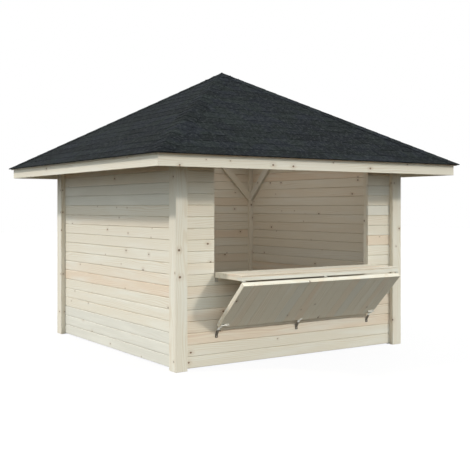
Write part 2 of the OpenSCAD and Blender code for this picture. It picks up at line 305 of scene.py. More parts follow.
def new_material(name):
    material = bpy.data.materials.new(name)
    material.use_nodes = True
    tree = material.node_tree
    return material, tree, tree.nodes["Principled BSDF"]


def wood_material(name, bump, knots):
    material, tree, shader = new_material(name)
    grain = add(tree, "ShaderNodeAttribute", attribute_name="grain").outputs["Vector"]
    tint = add(tree, "ShaderNodeAttribute", attribute_name="tint").outputs["Fac"]
    sockets = {"Place": grain, "Tint": tint, "Knots": knots}
    wood = add(tree, "ShaderNodeGroup", sockets, node_tree=spruce_tree).outputs
    sockets = {"Strength": bump, "Distance": GRAIN_DEPTH, "Height": wood["Height"]}
    relief = add(tree, "ShaderNodeBump", sockets)
    fill(tree, shader, {"Base Color": wood["Color"], "Roughness": wood["Roughness"],
                        "Specular IOR Level": WOOD_GLOSS, "Normal": relief.outputs["Normal"]})
    return material


planed_boards = wood_material("planed_spruce_boards", bump=0.2, knots=0.15)
planed_beams = wood_material("planed_spruce_beams", bump=0.3, knots=0.2)
planed_posts = wood_material("planed_spruce_posts", bump=0.3, knots=0.6)
print("wood:", planed_boards.name, "and", planed_beams.name, "and", planed_posts.name)

# %% [markdown]
# ## Running a tree
# A Geometry Nodes tree works on a host object. Its inputs are set by their identifiers before Blender first
# evaluates it, and the evaluated result is copied into a plain mesh, so that the finished piece has no live
# modifier. The same cell has the steps that every finished piece takes: it is linked to the scene, it is
# attached to the body it rides on, and the CAD nodes it stands for are hidden.

# %% Make plain pieces
def grow(tree, mesh, values):
    host = bpy.data.objects.new("host", mesh)
    scene.collection.objects.link(host)
    modifier = host.modifiers.new("grow", "NODES")
    modifier.node_group = tree
    for item in tree.interface.items_tree:
        if item.item_type == "SOCKET" and item.in_out == "INPUT" and item.name in values:
            modifier[item.identifier] = values[item.name]
    graph = bpy.context.evaluated_depsgraph_get()
    made = bpy.data.meshes.new_from_object(host.evaluated_get(graph), preserve_all_data_layers=True,
                                           depsgraph=graph)
    bpy.data.objects.remove(host)
    made.shade_flat()
    return made


def dress(name, mesh, body, slot, *covered):
    mesh.name = name
    piece = bpy.data.objects.new(name, mesh)
    scene.collection.objects.link(piece)
    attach(piece, body)
    if covered:
        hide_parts(*covered)
    print(name + ":", len(mesh.polygons), "faces, on", body)
    return piece


print("piece helpers ready")

# %% [markdown]
# ## Steps that the trees share
# Three trees follow: one for boards, one for shingles and one that sets small pieces on points. All of them
# draw random numbers from a seed, write attributes for the materials, and end in the same way. Instances are
# made real and get their material, because an export keeps only real faces.

# %% Shared steps
def position(tree):
    point = tree.nodes.new("GeometryNodeInputPosition").outputs[0]
    return add(tree, "ShaderNodeSeparateXYZ", {0: point}).outputs


def random_number(tree, sockets):
    return add(tree, "FunctionNodeRandomValue", sockets, data_type="FLOAT").outputs[1]


def random_vector(tree, low, high, sockets):
    limits = {0: low, 1: high}
    return add(tree, "FunctionNodeRandomValue", limits | sockets, data_type="FLOAT_VECTOR").outputs[0]


def store(tree, geometry, name, value, kind, domain):
    sockets = {"Geometry": geometry, "Name": name, "Value": value}
    return add(tree, "GeometryNodeStoreNamedAttribute", sockets, data_type=kind, domain=domain).outputs[0]


def end_tree(tree, geometry, material):
    real = add(tree, "GeometryNodeRealizeInstances", {0: geometry}).outputs[0]
    painted = add(tree, "GeometryNodeSetMaterial", {"Geometry": real, "Material": material}).outputs[0]
    add(tree, "NodeGroupOutput", {0: painted})
    return tree


print("shared steps ready")

# %% [markdown]
# ## Boards
# Walls, roof deck, counter and flap are all runs of tongue-and-groove boards. You could model one board and
# array it, but the boards differ in length, so each is drawn as an edge instead, and one cross-section is
# swept along all of them. The tree also writes the wood's two attributes, with a random offset for each
# board, so that no two boards have the same knots.

# %% Board tree
GRAIN_SHIFT = (40, 9, 9)
TINT_SEED = 100


def board_tree():
    inputs = [("Lines", "Geometry"), ("Profile", "Object"), ("Seed", "Int"), ("Wood", "Material")]
    tree = new_tree("boards", "GeometryNodeTree", inputs, [("Boards", "Geometry")])
    given = tree.nodes.new("NodeGroupInput").outputs
    lines = add(tree, "GeometryNodeMeshToCurve", {"Mesh": given["Lines"]}).outputs[0]
    level = add(tree, "GeometryNodeSetCurveNormal", {"Curve": lines}, mode="Z_UP").outputs[0]
    shape = add(tree, "GeometryNodeObjectInfo", {"Object": given["Profile"]}).outputs["Geometry"]
    sockets = {"Curve": level, "Profile Curve": shape, "Fill Caps": True}
    swept = add(tree, "GeometryNodeCurveToMesh", sockets).outputs[0]
    number = add(tree, "GeometryNodeInputNamedAttribute", {"Name": "board"}, data_type="INT").outputs[0]
    shift = random_vector(tree, (0, 0, 0), GRAIN_SHIFT, {"ID": number, "Seed": given["Seed"]})
    tint_seed = calc(tree, "ADD", given["Seed"], TINT_SEED)
    tint = random_number(tree, {"ID": number, "Seed": tint_seed})
    along, through, across = position(tree)
    grain = vector(tree, "ADD", combine(tree, along, across, through), shift)
    marked = store(tree, swept, "grain", grain, "FLOAT_VECTOR", "POINT")
    tinted = store(tree, marked, "tint", tint, "FLOAT", "POINT")
    return end_tree(tree, tinted, given["Wood"])


boards = board_tree()
print("board tree:", len(boards.nodes), "nodes")

# %% [markdown]
# ## The cross-section of a board
# The cross-section has the tongue, the groove and a chamfer on each long edge. Two chamfers make the V that
# shows as a fine line between the boards: wide on walls and roof, and hardly there on the hatch, which is
# joined more closely. The profile is a closed curve, X through the board and Y across it.

# %% Board profile
SEAM = 0.003
CHAMFER = 0.0042
FINE_SEAM = 0.0009
FINE_CHAMFER = 0.0012
TONGUE_SHARE = 0.3
TONGUE_LENGTH = 0.008


def board_profile(cover, thick, chamfer, seam):
    face = thick / 2
    edge = face - chamfer
    tongue = thick * TONGUE_SHARE / 2
    low = seam / 2
    high = cover - seam / 2
    slot = tongue + seam / 4
    deep = TONGUE_LENGTH + seam
    half = [(slot, deep), (slot, low), (edge, low), (face, low + chamfer), (face, high - chamfer),
            (edge, high), (tongue, high), (tongue, cover + TONGUE_LENGTH)]
    outline = half + [(-x, y) for x, y in reversed(half)]
    curve = bpy.data.curves.new("board_profile", "CURVE")
    curve.dimensions = "3D"
    spline = curve.splines.new("POLY")
    spline.points.add(len(outline) - 1)
    for point, (x, y) in zip(spline.points, outline):
        point.co = (x, -y, 0, 1)
    spline.use_cyclic_u = True
    holder = bpy.data.objects.new("board_profile", curve)
    scene.collection.objects.link(holder)
    return holder


print("seams:", SEAM, "m on walls and roof,", FINE_SEAM, "m on the hatch")

# %% [markdown]
# ## One board run
# A run is laid out in its own flat frame: X along the boards, Z across them from board to board, Y through
# them. Boards that are given the same number share their grain. The profile is removed once its boards are
# swept.

# %% Board run
def board_run(lines, cover, thick, seed, fine=False, numbers=None):
    mesh = bpy.data.meshes.new("board_lines")
    points = [(x, 0, z) for x0, x1, z in lines for x in (x0, x1)]
    mesh.from_pydata(points, [(i, i + 1) for i in range(0, len(points), 2)], [])
    numbers = numbers or range(len(lines))
    board = mesh.attributes.new("board", "INT", "POINT")
    board.data.foreach_set("value", [number for number in numbers for end in (0, 1)])
    chamfer = FINE_CHAMFER if fine else CHAMFER
    seam = FINE_SEAM if fine else SEAM
    profile = board_profile(cover, thick, chamfer, seam)
    made = grow(boards, mesh, {"Profile": profile, "Seed": seed, "Wood": planed_boards})
    bpy.data.objects.remove(profile)
    return made


sample = board_run([(0, 1, 0)], cover=0.114, thick=0.028, seed=1)
sample_low = [min(v.co[i] for v in sample.vertices) for i in range(3)]
sample_high = [max(v.co[i] for v in sample.vertices) for i in range(3)]
print("one board spans", [round(v, 4) for v in sample_low], "to", [round(v, 4) for v in sample_high])
bpy.data.meshes.remove(sample)

# %% [markdown]
# ## Placing and trimming
# A finished run is turned to its place, and trimmed where a roof hip or an opening cuts it. The kiosk is
# square, so whatever fits its front is carried round to the other sides by quarter turns. A cut leaves a
# hole in each board, and filling it keeps the boards closed.

# %% Placing and trimming
def quarter(turn):
    return Matrix.Rotation(math.radians(90 * turn), 4, "Z")


def laid(origin, pitch, turn=0):
    """From a run's flat frame to a front plane that rises inwards at this pitch, carried round."""
    rise = Vector((0, math.cos(pitch), math.sin(pitch)))
    inner = Vector((0, math.sin(pitch), -math.cos(pitch)))
    place = Matrix((Vector((1, 0, 0)), inner, rise)).transposed().to_4x4()
    place.translation = origin
    return quarter(turn) @ place


def trim(mesh, *planes):
    work = bmesh.new()
    work.from_mesh(mesh)
    for point, outwards in planes:
        everything = work.verts[:] + work.edges[:] + work.faces[:]
        bmesh.ops.bisect_plane(work, geom=everything, plane_co=point, plane_no=outwards, clear_outer=True)
        open_edges = [edge for edge in work.edges if edge.is_boundary]
        bmesh.ops.holes_fill(work, edges=open_edges, sides=0)
    work.to_mesh(mesh)
    work.free()


print("placing and trimming ready")

# %% [markdown]
# ## Walls
# Nineteen courses stand between the base and the top plate. The left, right and back walls run unbroken from
# groove to groove, and the last course is cut off level with the wall's top.

# %% Walls
COURSES = 19
WALL_SEED = 10
UPRIGHT = math.radians(90)
wall_low, wall_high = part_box("back_wall")
wall_cover = (wall_high.z - wall_low.z) / COURSES
wall_thick = wall_high.y - wall_low.y
wall_middle = (wall_high.y + wall_low.y) / 2
wall_end = wall_high.x
wall_place = Vector((0, -wall_middle, wall_low.z))
wall_top = (Vector((0, 0, wall_high.z)), Vector((0, 0, 1)))


def wall_run(lines, seed, turn=0, plane=wall_top, numbers=None):
    run = board_run(lines, wall_cover, wall_thick, seed, numbers=numbers)
    run.transform(laid(wall_place, UPRIGHT, turn))
    trim(run, plane)
    return run


for turn, node in ((1, "right_wall"), (2, "back_wall"), (3, "left_wall")):
    lines = [(-wall_end, wall_end, wall_cover * k) for k in range(COURSES)]
    dress(node + "_boards", wall_run(lines, WALL_SEED + turn, turn), "shed", "wall_boards", node)
print("wall board:", round(wall_thick, 4), "thick,", round(wall_cover, 4), "wide")

# %% [markdown]
# ## Front wall
# Beside the serving opening the front boards stop at its edge, in front of the linings, while the courses
# below and above it run right through. The sill and the head each cut a notch in one long board: the narrow
# strip that is left has the number of the pieces beside it, so that the grain runs on.

# %% Front wall
FRONT_SEED = 24
opening_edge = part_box("sill")[1].x
sill_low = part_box("sill")[0].z
head_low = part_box("front_wall_above")[0].z
sill_course = int((sill_low - wall_low.z) / wall_cover)
head_course = int((head_low - wall_low.z) / wall_cover)
lines = []
numbers = []
for k in range(COURSES):
    if sill_course <= k <= head_course:
        notched = k in (sill_course, head_course)
        lines += [(-wall_end, -opening_edge, wall_cover * k), (opening_edge, wall_end, wall_cover * k)]
        numbers += [k, k if notched else k + COURSES]
    else:
        lines.append((-wall_end, wall_end, wall_cover * k))
        numbers.append(k)

dress("front_wall_boards", wall_run(lines, FRONT_SEED, numbers=numbers), "shed", "wall_boards",
      "front_wall_left", "front_wall_right", "front_wall_below", "front_wall_above")

for name, k, plane in (
    ("front_strip_under_sill", sill_course, (Vector((0, 0, sill_low)), Vector((0, 0, 1)))),
    ("front_strip_over_opening", head_course, (Vector((0, 0, head_low)), Vector((0, 0, -1)))),
):
    line = (-opening_edge, opening_edge, wall_cover * k)
    strip = wall_run([line], FRONT_SEED, plane=plane, numbers=[k])
    dress(name, strip, "shed", "wall_boards")

# %% [markdown]
# ## Roof deck
# From inside and under the eaves you see the deck: boards laid along the eave, mitred at the hips over the
# hip rafters. Each side is one run on the roof's slope, made too long and cut by the two upright planes
# through the hips.

# %% Roof deck
SIDES = ("front", "right", "back", "left")
ROOF_PITCH = math.radians(30)
DECK_COURSES = 20
DECK_SEED = 50
deck_low, deck_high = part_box("deck_front")
deck_edge = -deck_low.y
deck_length = deck_edge / math.cos(ROOF_PITCH)
deck_cover = deck_length / DECK_COURSES
deck_thick = (deck_high.z - deck_low.z - deck_edge * math.tan(ROOF_PITCH)) * math.cos(ROOF_PITCH)
deck_middle = Vector((0, -math.sin(ROOF_PITCH), math.cos(ROOF_PITCH))) * (deck_thick / 2)
deck_place = Vector((0, -deck_edge, deck_low.z)) + deck_middle


def hip_planes(turn):
    around = quarter(turn).to_3x3()
    return [(Vector((0, 0, 0)), around @ Vector((side, 1, 0))) for side in (-1, 1)]


for turn, side in enumerate(SIDES):
    lines = []
    for k in range(DECK_COURSES):
        reach = deck_edge * (1 - k / DECK_COURSES) + deck_thick
        lines.append((-reach, reach, deck_cover * k))
    deck = board_run(lines, deck_cover, deck_thick, DECK_SEED + turn)
    deck.transform(laid(deck_place, ROOF_PITCH, turn))
    trim(deck, *hip_planes(turn))
    dress("deck_boards_" + side, deck, "shed", "wall_boards", "deck_" + side)
print("deck board:", round(deck_thick, 4), "thick,", round(deck_cover, 4), "wide")

# %% [markdown]
# ## Counter
# The counter is the hatch's lower leaf: four boards along its length, laid level. The last board's tongue is
# planed off, so the run is trimmed at the counter's inner edge.

# %% Counter boards
COUNTER_BOARDS = 4
COUNTER_SEED = 61
counter_low, counter_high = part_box("counter_top")
counter_cover = (counter_high.y - counter_low.y) / COUNTER_BOARDS
counter_thick = counter_high.z - counter_low.z
counter_reach = counter_high.x
lines = [(-counter_reach, counter_reach, counter_cover * k) for k in range(COUNTER_BOARDS)]
counter = board_run(lines, counter_cover, counter_thick, COUNTER_SEED, fine=True)
counter.transform(laid(Vector((0, counter_low.y, counter_low.z + counter_thick / 2)), 0))
trim(counter, (Vector((0, counter_high.y, 0)), Vector((0, 1, 0))))
dress("counter_boards", counter, "counter", "hatch_boards", "counter_top")

# %% [markdown]
# ## Flap
# The flap's boards run the other way, from its hinge to its free edge. They are laid out flat, in line with
# the counter, and the whole run is then folded down about the flap's hinge by the hinge's own range.

# %% Flap boards
FLAP_BOARDS = 18
FLAP_SEED = 63
flap_joint = next(joint for joint in frame["joints"] if joint["name"] == "flap_hinge")
flap_pin = Matrix.Translation(flap_joint["pos_m"])
flap_turn = Matrix.Rotation(math.radians(flap_joint["range_deg"][1]), 4, "X")
fold = flap_pin @ flap_turn @ flap_pin.inverted()
flat_points = [fold.inverted() @ vertex.co for vertex in nodes["flap_boards"].data.vertices]
flap_low = Vector([min(point[i] for point in flat_points) for i in range(3)])
flap_high = Vector([max(point[i] for point in flat_points) for i in range(3)])
flap_cover = (flap_high.x - flap_low.x) / FLAP_BOARDS
flap_thick = flap_high.z - flap_low.z
lines = [(0, flap_high.y - flap_low.y, flap_cover * k) for k in range(FLAP_BOARDS)]
flap = board_run(lines, flap_cover, flap_thick, FLAP_SEED, fine=True)
crosswise = Matrix(((0, 0, -1, flap_high.x), (1, 0, 0, flap_low.y), (0, -1, 0, flap_low.z + flap_thick / 2),
                    (0, 0, 0, 1)))
flap.transform(crosswise)
trim(flap, (flap_low, Vector((-1, 0, 0))))
flap.transform(fold)
dress("flap_facing_boards", flap, "flap", "hatch_boards", "flap_boards")
print("flap board:", round(flap_cover, 4), "wide,", round(flap_high.y - flap_low.y, 3), "long")

# %% [markdown]
# ## Eased edges
# Posts, plates, braces, rafters, linings, fascia and the hatch's rails are single lengths of planed timber.
# Their CAD solids have the right shape, but a real planed edge is broken by a pass of the plane, and that
# thin bright line is what makes a beam look like wood. So each beam is a copy of its solid with the doubled
# corners merged, the flat faces joined up and every edge slightly rounded.

# %% Eased copies
MERGE = 0.00002
FLAT = math.radians(1)
SHARP = math.radians(20)


def merged_copy(node):
    work = bmesh.new()
    work.from_mesh(nodes[node].data)
    bmesh.ops.remove_doubles(work, verts=work.verts, dist=MERGE)
    return work


def plain_mesh(work, name):
    mesh = bpy.data.meshes.new(name)
    work.to_mesh(mesh)
    work.free()
    return mesh


def eased_copy(node, ease):
    work = merged_copy(node)
    bmesh.ops.dissolve_limit(work, angle_limit=FLAT, verts=work.verts, edges=work.edges)
    sharp = [edge for edge in work.edges if edge.is_manifold and edge.calc_face_angle() > SHARP]
    bmesh.ops.bevel(work, geom=sharp, offset=ease, segments=2, profile=0.5, affect="EDGES",
                    clamp_overlap=True)
    return plain_mesh(work, node)


print("eased copies ready")

# %% [markdown]
# ## The grain of a beam
# A beam's grain runs along its longest axis. You could name that axis for every beam, but braces and rafters
# slope, so each solid finds it for itself: the axes of the spread of its corners, the longest one first. A
# node may hold several beams, so its solids are told apart first, by following their edges.

# %% Grain of a beam
TINT_HIGH = 0.8


def islands(mesh):
    """The vertex numbers of each separate solid in a mesh."""
    parent = list(range(len(mesh.vertices)))

    def root(i):
        while parent[i] != i:
            parent[i] = parent[parent[i]]
            i = parent[i]
        return i

    for edge in mesh.edges:
        first, second = edge.vertices
        parent[root(first)] = root(second)
    groups = {}
    for i in range(len(parent)):
        groups.setdefault(root(i), []).append(i)
    return list(groups.values())


def mark_grain(mesh, seed, tint_low):
    chance = random.Random(seed)
    corners = numpy.array([vertex.co for vertex in mesh.vertices])
    grain = numpy.zeros_like(corners)
    tint = numpy.zeros(len(corners))
    for solid in islands(mesh):
        middle = corners[solid].mean(axis=0)
        spread = corners[solid] - middle
        axes = numpy.linalg.eigh(spread.T @ spread)[1][:, ::-1]
        shift = [chance.uniform(0, reach) for reach in GRAIN_SHIFT]
        grain[solid] = spread @ axes + shift
        tint[solid] = chance.uniform(tint_low, TINT_HIGH)
    mesh.attributes.new("grain", "FLOAT_VECTOR", "POINT").data.foreach_set("vector", grain.ravel())
    mesh.attributes.new("tint", "FLOAT", "POINT").data.foreach_set("value", tint)


print("grain marking ready")

# %% [markdown]
# ## Beams
# Now every beam is made from its node. The frame's timbers have wider eased edges than the hatch's slim
# rails. Posts and linings are never silvery: their tints start halfway to peach.

# %% Beams
BEAM_SEED = 200
EASE_ROUGH = 0.003
EASE_FINE = 0.0015
POST_TINT_LOW = 0.5
beams = {
    "shed": ["post_front_left", "post_front_right", "post_back_left", "post_back_right", "jamb_linings",
             "sill", "plate_front", "plate_back", "plate_left", "plate_right", "braces", "hip_rafters",
             "mid_rafters", "king_block", "fascia_front", "fascia_back", "fascia_left", "fascia_right"],
    "counter": ["counter_rails", "counter_ledges"],
    "flap": ["flap_rails", "flap_stiles"],
}
for body, names in beams.items():
    ease = EASE_ROUGH if body == "shed" else EASE_FINE
    for number, node in enumerate(names):
        timber = eased_copy(node, ease)
        post = node.startswith("post_")
        warm = post or node == "jamb_linings"
        mark_grain(timber, BEAM_SEED + number, POST_TINT_LOW if warm else 0)
        timber.materials.append(planed_posts if post else planed_beams)
        dress(node + "_planed", timber, body, "timber", node)

# %% [markdown]
# ## Shingle felt
# The covering is mineral felt: bitumen strips with a coat of crushed slate. Seen close it sparkles with
# grains of different greys; from afar the coat is mottled, and each strip has its own slightly different
# charcoal, some with a green or a blue cast. The tabs carry that as a "tint" attribute. A coarse noise turns
# the cast, a middle one makes the mottling, and a fine one makes the grains and their bump.

# %% Shingle material
FELT_DARK = (0.0067, 0.0077, 0.0082, 1)
FELT_GREEN = (0.0164, 0.0200, 0.0190, 1)
FELT_BLUE = (0.0156, 0.0176, 0.0218, 1)
FELT_LIGHT = (0.032, 0.0352, 0.0356, 1)
FELT_GRAIN = (0.051, 0.056, 0.058, 1)
CAST_SCALE = (5.0, 5.0, 5.0)
CAST_RANGE = (0.42, 0.58)
CAST_LEAST = 0.25
MOTTLE_SCALE = (34.0, 34.0, 34.0)
DARK_RANGE = (0.36, 0.48)
DARK_SHARE = 0.6
LIGHT_RANGE = (0.52, 0.66)
LIGHT_SHARE = 0.8
SLATE_SCALE = (420.0, 420.0, 420.0)
SLATE_RANGE = (0.56, 0.72)
SLATE_SHARE = 0.6
SLATE_BUMP = {"Strength": 0.5, "Distance": 0.0015}
FELT_SHEEN = {"Specular IOR Level": 0.03, "Roughness": 0.9}


def felt_material(name):
    material, tree, shader = new_material(name)
    place = add(tree, "ShaderNodeTexCoord").outputs["Object"]
    tint = add(tree, "ShaderNodeAttribute", attribute_name="tint").outputs["Fac"]
    cloud = noise(tree, place, CAST_SCALE, detail=3.0)
    mottle = noise(tree, place, MOTTLE_SCALE, detail=3.0)
    grains = noise(tree, place, SLATE_SCALE, detail=2.0)
    cast = blend(tree, fade(tree, cloud, *CAST_RANGE, 0.0, 1.0), FELT_GREEN, FELT_BLUE)
    color = blend(tree, fade(tree, tint, 0.0, 1.0, CAST_LEAST, 1.0), FELT_DARK, cast)
    color = blend(tree, fade(tree, mottle, *DARK_RANGE, DARK_SHARE, 0.0), color, FELT_DARK)
    color = blend(tree, fade(tree, mottle, *LIGHT_RANGE, 0.0, LIGHT_SHARE), color, FELT_LIGHT)
    color = blend(tree, fade(tree, grains, *SLATE_RANGE, 0.0, SLATE_SHARE), color, FELT_GRAIN)
    relief = add(tree, "ShaderNodeBump", {"Height": grains} | SLATE_BUMP)
    fill(tree, shader, {"Base Color": color, "Normal": relief.outputs["Normal"]} | FELT_SHEEN)
    return material


shingle_felt = felt_material("slate_felt")
print("shingles:", shingle_felt.name)

# %% [markdown]
# ## One tab and its points
# The roofer starts at the eave with a plain strip and lays each course half a tab to the side, over the top
# of the last one. The tree does the same: a grid of points, every second row pushed by half a tab, and the
# points beyond the hips taken out. A tab is a thin slab that reaches up under the next course and a little
# beyond it, so that no joint shows the deck. Most of its tone belongs to the strip it was cut with.

# %% Shingle points and tab
TAB_GAP = 0.006
TAB_LAP = 2.05
TAB_CUTS = {"Vertices X": 5, "Vertices Y": 3, "Vertices Z": 2}
STRIP_TABS = 3
STRIPS_APART = 40
STRIP_SEED = 7
STRIP_SHARE = 0.65
TAB_SHARE = 0.35


def shingle_points(tree, given):
    wide = calc(tree, "MULTIPLY", given["Tab"], given["Columns"])
    high = calc(tree, "MULTIPLY", given["Exposure"], calc(tree, "SUBTRACT", given["Rows"], 1))
    count = calc(tree, "ADD", given["Columns"], 1)
    sockets = {"Size X": wide, "Size Y": high, "Vertices X": count, "Vertices Y": given["Rows"]}
    grid = add(tree, "GeometryNodeMeshGrid", sockets).outputs[0]
    across, along = position(tree)[:2]
    up = calc(tree, "MULTIPLY_ADD", high, 0.5, along)
    row = calc(tree, "ROUND", calc(tree, "DIVIDE", up, given["Exposure"]))
    half_tab = calc(tree, "MULTIPLY", given["Tab"], 0.5)
    step = calc(tree, "MULTIPLY", calc(tree, "MODULO", row, 2), half_tab)
    spot = combine(tree, calc(tree, "ADD", across, step), up)
    moved = add(tree, "GeometryNodeSetPosition", {"Geometry": grid, "Position": spot}).outputs[0]
    left = calc(tree, "SUBTRACT", 1, calc(tree, "DIVIDE", along, given["Length"]))
    reach = calc(tree, "MULTIPLY_ADD", given["Eave"], left, half_tab)
    beyond = calc(tree, "GREATER_THAN", calc(tree, "ABSOLUTE", across), reach)
    return add(tree, "GeometryNodeDeleteGeometry", {"Geometry": moved, "Selection": beyond}).outputs[0]


def shingle_tab(tree, given):
    lap = calc(tree, "MULTIPLY", given["Exposure"], TAB_LAP)
    size = combine(tree, calc(tree, "SUBTRACT", given["Tab"], TAB_GAP), lap, given["Thickness"])
    slab = add(tree, "GeometryNodeMeshCube", {"Size": size} | TAB_CUTS).outputs[0]
    half_thick = calc(tree, "MULTIPLY", given["Thickness"], 0.5)
    lift = combine(tree, 0, calc(tree, "MULTIPLY", lap, 0.5), half_thick)
    return add(tree, "GeometryNodeTransform", {"Geometry": slab, "Translation": lift}).outputs[0]


def shingle_tone(tree, given):
    across, along = position(tree)[:2]
    strip_width = calc(tree, "MULTIPLY", given["Tab"], STRIP_TABS)
    strip = calc(tree, "FLOOR", calc(tree, "DIVIDE", across, strip_width))
    course = calc(tree, "ROUND", calc(tree, "DIVIDE", along, given["Exposure"]))
    strip = calc(tree, "MULTIPLY_ADD", course, STRIPS_APART, strip)
    strip_seed = calc(tree, "ADD", given["Seed"], STRIP_SEED)
    strip_tone = random_number(tree, {"ID": strip, "Seed": strip_seed})
    tab_tone = random_number(tree, {"Seed": given["Seed"]})
    return calc(tree, "MULTIPLY_ADD", strip_tone, STRIP_SHARE, calc(tree, "MULTIPLY", tab_tone, TAB_SHARE))


print("strips of", STRIP_TABS, "tabs, with gaps of", TAB_GAP, "m")

# %% [markdown]
# ## The shingle tree
# One tab goes on each point, tipped so that its lower edge lies on the course below. A little random tip and
# turn keeps the courses from looking ruled.

# %% Shingle tree
LOOSE_LOW = (0.0, -0.004, -0.006)
LOOSE_HIGH = (0.005, 0.004, 0.006)
SEAT_FELTS = 2


def shingle_tree():
    inputs = [("Start", "Geometry"), ("Tab", "Float"), ("Exposure", "Float"), ("Thickness", "Float"),
              ("Eave", "Float"), ("Length", "Float"), ("Rows", "Int"), ("Columns", "Int"), ("Seed", "Int"),
              ("Felt", "Material")]
    tree = new_tree("shingles", "GeometryNodeTree", inputs, [("Shingles", "Geometry")])
    given = tree.nodes.new("NodeGroupInput").outputs
    loose = random_vector(tree, LOOSE_LOW, LOOSE_HIGH, {"Seed": given["Seed"]})
    tip = combine(tree, calc(tree, "DIVIDE", given["Thickness"], given["Exposure"]))
    tipped = vector(tree, "SUBTRACT", loose, tip)
    seat = combine(tree, 0, 0, calc(tree, "MULTIPLY", given["Thickness"], SEAT_FELTS))
    sockets = {"Geometry": shingle_points(tree, given), "Offset": seat}
    raised = add(tree, "GeometryNodeSetPosition", sockets).outputs[0]
    sockets = {"Points": raised, "Instance": shingle_tab(tree, given), "Rotation": tipped}
    tabs = add(tree, "GeometryNodeInstanceOnPoints", sockets).outputs[0]
    toned = store(tree, tabs, "tint", shingle_tone(tree, given), "FLOAT", "INSTANCE")
    return end_tree(tree, toned, given["Felt"])


shingles = shingle_tree()
print("shingle tree:", len(shingles.nodes), "nodes")

# %% [markdown]
# ## Shingles on four sides
# The tree works on a flat side with Y up the slope and Z out of it, so its result is turned face up, laid on
# the slope and cut at the hips. The plain strip at the eave is a thin box that takes the same way.

# %% Shingles on four sides
TAB = 0.333
EXPOSURE = 0.143
FELT = 0.0026
SHINGLE_SEED = 70
FACE_UP = Matrix(((1, 0, 0, 0), (0, 0, -1, 0), (0, 1, 0, 0), (0, 0, 0, 1)))
shingle_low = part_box("shingles_front")[0]
shingle_edge = -shingle_low.y
shingle_length = shingle_edge / math.cos(ROOF_PITCH)
shingle_place = Vector((0, -shingle_edge, shingle_low.z))
rows = math.ceil(shingle_length / EXPOSURE)
columns = math.ceil(2 * shingle_edge / TAB) + 1


def felt_strip():
    work = bmesh.new()
    bmesh.ops.create_cube(work, size=1)
    bmesh.ops.scale(work, vec=(2 * shingle_edge, EXPOSURE, 2 * FELT), verts=work.verts)
    bmesh.ops.translate(work, vec=(0, EXPOSURE / 2, FELT), verts=work.verts)
    mesh = plain_mesh(work, "felt_strip")
    mesh.materials.append(shingle_felt)
    return mesh


for turn, side in enumerate(SIDES):
    values = {"Tab": TAB, "Exposure": EXPOSURE, "Thickness": FELT, "Eave": shingle_edge,
              "Length": shingle_length, "Rows": rows, "Columns": columns, "Seed": SHINGLE_SEED + turn,
              "Felt": shingle_felt}
    courses = grow(shingles, bpy.data.meshes.new("roof_start"), values)
    starter = felt_strip()
    for layer in (courses, starter):
        layer.transform(laid(shingle_place, ROOF_PITCH, turn) @ FACE_UP)
        trim(layer, *hip_planes(turn))
    dress("shingle_courses_" + side, courses, "shed", "shingles", "shingles_" + side)
    dress("starter_strip_" + side, starter, "shed", "shingles")
print("courses:", rows, "tabs in the first course:", columns)

# %% [markdown]
# ## Setting pieces on points
# Hip caps and screws are small pieces that repeat, so one general tree serves both. It sets a piece on
# points, turns its Z to each point's "facing", wobbles it a little and gives each copy a tint of its own.

# %% Tree that sets pieces on points
def setting_tree():
    inputs = [("Points", "Geometry"), ("Piece", "Object"), ("Wobble", "Float"), ("Seed", "Int"),
              ("Finish", "Material")]
    tree = new_tree("pieces_on_points", "GeometryNodeTree", inputs, [("Pieces", "Geometry")])
    given = tree.nodes.new("NodeGroupInput").outputs
    shape = add(tree, "GeometryNodeObjectInfo", {"Object": given["Piece"]}).outputs["Geometry"]
    facing = add(tree, "GeometryNodeInputNamedAttribute", {"Name": "facing"}, data_type="FLOAT_VECTOR")
    aimed = add(tree, "FunctionNodeAlignRotationToVector", {"Vector": facing.outputs[0]}, axis="Z").outputs[0]
    loose = random_vector(tree, (-1, -1, -1), (1, 1, 1), {"Seed": given["Seed"]})
    sockets = {0: loose, "Scale": given["Wobble"]}
    wobble = add(tree, "ShaderNodeVectorMath", sockets, operation="SCALE").outputs[0]
    wobble_turn = add(tree, "FunctionNodeEulerToRotation", {0: wobble}).outputs[0]
    turned = add(tree, "FunctionNodeRotateRotation", {0: aimed, 1: wobble_turn}).outputs[0]
    sockets = {"Points": given["Points"], "Instance": shape, "Rotation": turned}
    placed = add(tree, "GeometryNodeInstanceOnPoints", sockets).outputs[0]
    shade = random_number(tree, {"Seed": given["Seed"]})
    toned = store(tree, placed, "tint", shade, "FLOAT", "INSTANCE")
    return end_tree(tree, toned, given["Finish"])


def set_on_points(piece_mesh, points, facings, wobble, seed, finish):
    spots = bpy.data.meshes.new("spots")
    spots.from_pydata(points, [], [])
    facing = spots.attributes.new("facing", "FLOAT_VECTOR", "POINT")
    facing.data.foreach_set("vector", [value for direction in facings for value in direction])
    holder = bpy.data.objects.new("piece", piece_mesh)
    scene.collection.objects.link(holder)
    made = grow(setting, spots, {"Piece": holder, "Wobble": wobble, "Seed": seed, "Finish": finish})
    bpy.data.objects.remove(holder)
    return made


setting = setting_tree()
print("setting tree:", len(setting.nodes), "nodes")

# %% [markdown]
# ## One hip cap
# Where two roof sides meet, the roofer folds short strips of felt over the hip, each lapping the one below.
# One folded strip is modelled from the two slopes themselves, so that its wings lie on them. It is a thin
# closed sheet between two grids of points, and its lower end stands on the cap below it.

